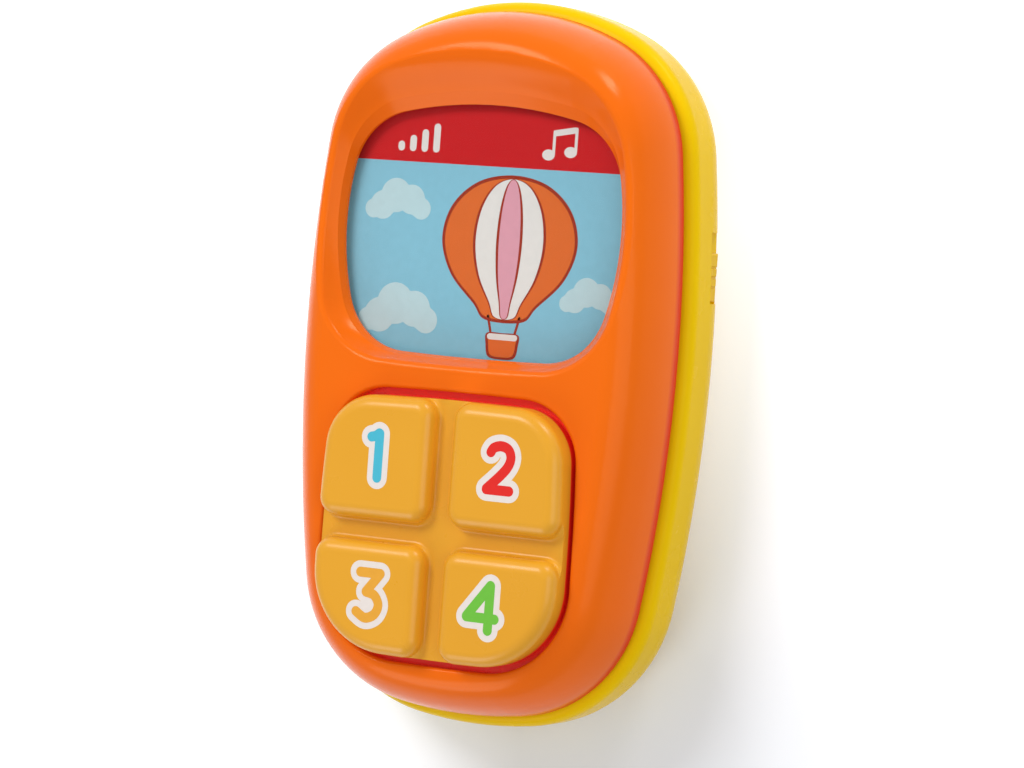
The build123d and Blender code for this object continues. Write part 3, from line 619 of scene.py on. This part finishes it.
def islands(node):
    """The low and high corner of each separate solid in a node.

    Parts of the mesh that overlap as seen along Z count as one solid."""
    mesh = bmesh.new()
    mesh.from_mesh(nodes[node].data)
    seen, boxes = set(), []
    for start in mesh.verts:
        if start in seen:
            continue
        found, queue = [], [start]
        seen.add(start)
        while queue:
            vertex = queue.pop()
            found.append(vertex.co.copy())
            for spoke in vertex.link_edges:
                other = spoke.other_vert(vertex)
                if other not in seen:
                    seen.add(other)
                    queue.append(other)
        low = Vector([min(co[i] for co in found) for i in range(3)])
        high = Vector([max(co[i] for co in found) for i in range(3)])
        for k, (low_b, high_b) in enumerate(boxes):
            if all(low[i] < high_b[i] and low_b[i] < high[i] for i in (0, 1)):
                boxes[k] = (
                    Vector([min(low[i], low_b[i]) for i in range(3)]),
                    Vector([max(high[i], high_b[i]) for i in range(3)]),
                )
                break
        else:
            boxes.append((low, high))
    mesh.free()
    return boxes


def cross_screw(low, high, head_height, shank_radius, pitch):
    """A pan-head screw that stands on its head, with a threaded shank."""
    x, y = (low.x + high.x) / 2, (low.y + high.y) / 2
    head_radius = (high.x - low.x) / 2
    seat = low.z + head_height
    rounding = head_height * 0.45
    neck, root, tip = shank_radius * 0.82, shank_radius * 0.8, shank_radius * 0.75
    arc_steps = 6
    profile = [(0, low.z)]
    for k in range(arc_steps + 1):
        turn = pi / 2 * k / arc_steps
        profile.append((
            head_radius - rounding + rounding * sin(turn),
            low.z + rounding - rounding * cos(turn),
        ))
    profile.append((head_radius, seat))
    profile.append((neck, seat))
    z = seat + pitch
    while z < high.z - pitch:
        profile += [(root, z), (shank_radius, z + pitch * 0.5), (root, z + pitch)]
        z += pitch
    profile += [(tip, high.z - pitch * 0.3), (0, high.z)]
    mesh = bmesh.new()
    segments = 40
    rings = []
    for radius, height in profile:
        if radius == 0:
            rings.append([mesh.verts.new((x, y, height))])
            continue
        turns = [2 * pi * k / segments for k in range(segments)]
        rings.append([
            mesh.verts.new((x + radius * cos(turn), y + radius * sin(turn), height))
            for turn in turns
        ])
    for ring, above in zip(rings, rings[1:]):
        for k in range(segments):
            near, far = k, (k + 1) % segments
            if len(ring) == 1:
                mesh.faces.new((ring[0], above[far], above[near]))
            elif len(above) == 1:
                mesh.faces.new((ring[near], ring[far], above[0]))
            else:
                mesh.faces.new((ring[near], ring[far], above[far], above[near]))
    bmesh.ops.recalc_face_normals(mesh, faces=mesh.faces)
    body = bpy.data.meshes.new("screw")
    mesh.to_mesh(body)
    mesh.free()
    return body, Vector((x, y, low.z)), head_radius


def cut_cross(obj, centre, head_radius, depth):
    """Tapered cross recess in the head's outer face."""
    cutter = bmesh.new()
    length, width = 2 * head_radius * 0.62, 2 * head_radius * 0.17
    deep_taper = 0.55
    for turn in (0, pi / 2):
        corners = bmesh.ops.create_cube(cutter, size=1)["verts"]
        for vertex in corners:
            taper = deep_taper if vertex.co.z > 0 else 1.0
            x, y, z = vertex.co
            co = Vector((x * length * taper, y * width * taper, z * 2 * depth))
            co.rotate(Matrix.Rotation(turn, 3, "Z"))
            vertex.co = centre + co
    mesh = bpy.data.meshes.new("cross")
    cutter.to_mesh(mesh)
    cutter.free()
    tool = bpy.data.objects.new("cross", mesh)
    bpy.context.scene.collection.objects.link(tool)
    cut = obj.modifiers.new("cross", "BOOLEAN")
    cut.operation = "DIFFERENCE"
    cut.solver = "EXACT"
    cut.use_self = True
    cut.object = tool
    depsgraph = bpy.context.evaluated_depsgraph_get()
    crossed = bpy.data.meshes.new_from_object(obj.evaluated_get(depsgraph))
    obj.modifiers.clear()
    obj.data = crossed
    bpy.data.objects.remove(tool)


def detailed_screws(node, head_height, shank_radius, pitch, body):
    """Screws with a cross and a thread in place of a node's plain ones."""
    cross_depth = head_height * 0.62
    sharp_edge = radians(32)
    made = []
    for k, (low, high) in enumerate(islands(node)):
        mesh, centre, head_radius = cross_screw(low, high, head_height, shank_radius, pitch)
        piece = place_piece(f"{node}_{k + 1}", mesh, zinc, body)
        cut_cross(piece, centre, head_radius, cross_depth)
        piece.data.materials.clear()
        piece.data.materials.append(zinc.material)
        piece.data.polygons.foreach_set("use_smooth", [True] * len(piece.data.polygons))
        piece.data.set_sharp_from_angle(angle=sharp_edge)
        made.append(piece)
    for piece in made:
        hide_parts(node)


# Head height and shank radius as in the CAD, then the pitch of the thread
detailed_screws("housing_screws", 1.6 * MM, 1.15 * MM, 0.9 * MM, "housing")
detailed_screws("battery_cover_screw", 1.7 * MM, 1.25 * MM, 0.5 * MM, "cover_screw")


# Floor, lights and camera


def seen_rays(tree):
    """1 for rays from the camera, a reflection or a clear piece, and 0 for the light between."""
    rays = tree.nodes.new("ShaderNodeLightPath")
    seen = rays.outputs["Is Camera Ray"]
    for kind in ("Is Glossy Ray", "Is Transmission Ray"):
        either = tree.nodes.new("ShaderNodeMath")
        either.operation = "MAXIMUM"
        tree.links.new(seen, either.inputs[0])
        tree.links.new(rays.outputs[kind], either.inputs[1])
        seen = either.outputs["Value"]
    return seen


bpy.ops.mesh.primitive_plane_add(size=6, location=(0, 0, cad_box[0].z))
floor = bpy.context.object
floor.name = "floor"
paper = Finish("floor_paper", (228, 231, 236), Roughness=0.9, Specular_IOR_Level=0.0)
paper.drift((227, 230, 235), 2)
# Painted light: for camera and reflection rays the paper glows, weakly at the shadow by the
# phone's foot and more away from it, so that it fades to plain white
shadow_middle, shadow_near, shadow_far = (0.022, -0.062, 0), 0.02, 0.09
glow_near, glow_far = 0.08, 0.62
away = paper.node("ShaderNodeVectorMath", operation="DISTANCE")
away.inputs[1].default_value = shadow_middle
paper.link(paper.place, away.inputs[0])
glow = paper.ranged(away.outputs["Value"], glow_near, glow_far, shadow_near, shadow_far)
lift = paper.node("ShaderNodeMath", operation="MULTIPLY")
paper.link(seen_rays(paper.tree), lift.inputs[0])
paper.link(glow, lift.inputs[1])
paper.shader.inputs["Emission Color"].default_value = (1, 1, 1, 1)
paper.link(lift.outputs["Value"], paper.shader.inputs["Emission Strength"])
floor.data.materials.append(paper.material)


def soft_light(name, place, size, power):
    """A round lamp, with its diameter in metres and its power in watts, that faces the phone."""
    data = bpy.data.lights.new(name, "AREA")
    data.shape = "DISK"
    data.size = size
    data.energy = power
    lamp = bpy.data.objects.new(name, data)
    bpy.context.scene.collection.objects.link(lamp)
    lamp.location = place
    phone_middle = Vector((0, 0, 0.02))
    lamp.rotation_euler = (phone_middle - Vector(place)).to_track_quat("-Z", "Y").to_euler()


soft_light("key", (-0.3, 0.42, 0.6), 0.3, 3.0)
soft_light("rim", (0.31, 0.64, 0.18), 0.2, 1.65)
soft_light("fill", (0.56, -0.02, 0.42), 0.5, 1.25)
soft_light("low", (-0.28, -0.54, 0.4), 0.4, 1.35)

# The world lights the phone softly and is white where it is seen
world_light, world_seen = 0.38, 1.0
world = bpy.data.worlds.new("studio")
bpy.context.scene.world = world
world.use_nodes = True
air = world.node_tree
background = air.nodes["Background"]
background.inputs["Color"].default_value = (1, 1, 1, 1)
level = air.nodes.new("ShaderNodeMapRange")
level.inputs["To Min"].default_value = world_light
level.inputs["To Max"].default_value = world_seen
air.links.new(seen_rays(air), level.inputs["Value"])
air.links.new(level.outputs["Result"], background.inputs["Strength"])

# The camera is turned about the phone's long axis, then tipped and rolled a little
yaw, pitch, roll = radians(28), -0.033, -0.0747
shift_x, shift_y, distance = -8.91 * MM, 3.4 * MM, 626.45 * MM
turn = (
    Matrix.Rotation(roll, 3, "Z")
    @ Matrix.Rotation(-pitch, 3, "X")
    @ Matrix.Rotation(-yaw, 3, "Y")
)
camera_data = bpy.data.cameras.new("camera")
camera = bpy.data.objects.new("camera", camera_data)
bpy.context.scene.collection.objects.link(camera)
bpy.context.scene.camera = camera
camera_data.sensor_width = 36
camera_data.lens = 135.63
aim = Vector((0, 0, 28 * MM))
place = turn.transposed() @ Vector((-shift_x, -shift_y, distance)) + aim
camera.matrix_world = Matrix.Translation(place) @ turn.transposed().to_4x4()
bpy.context.scene.view_settings.view_transform = "Standard"
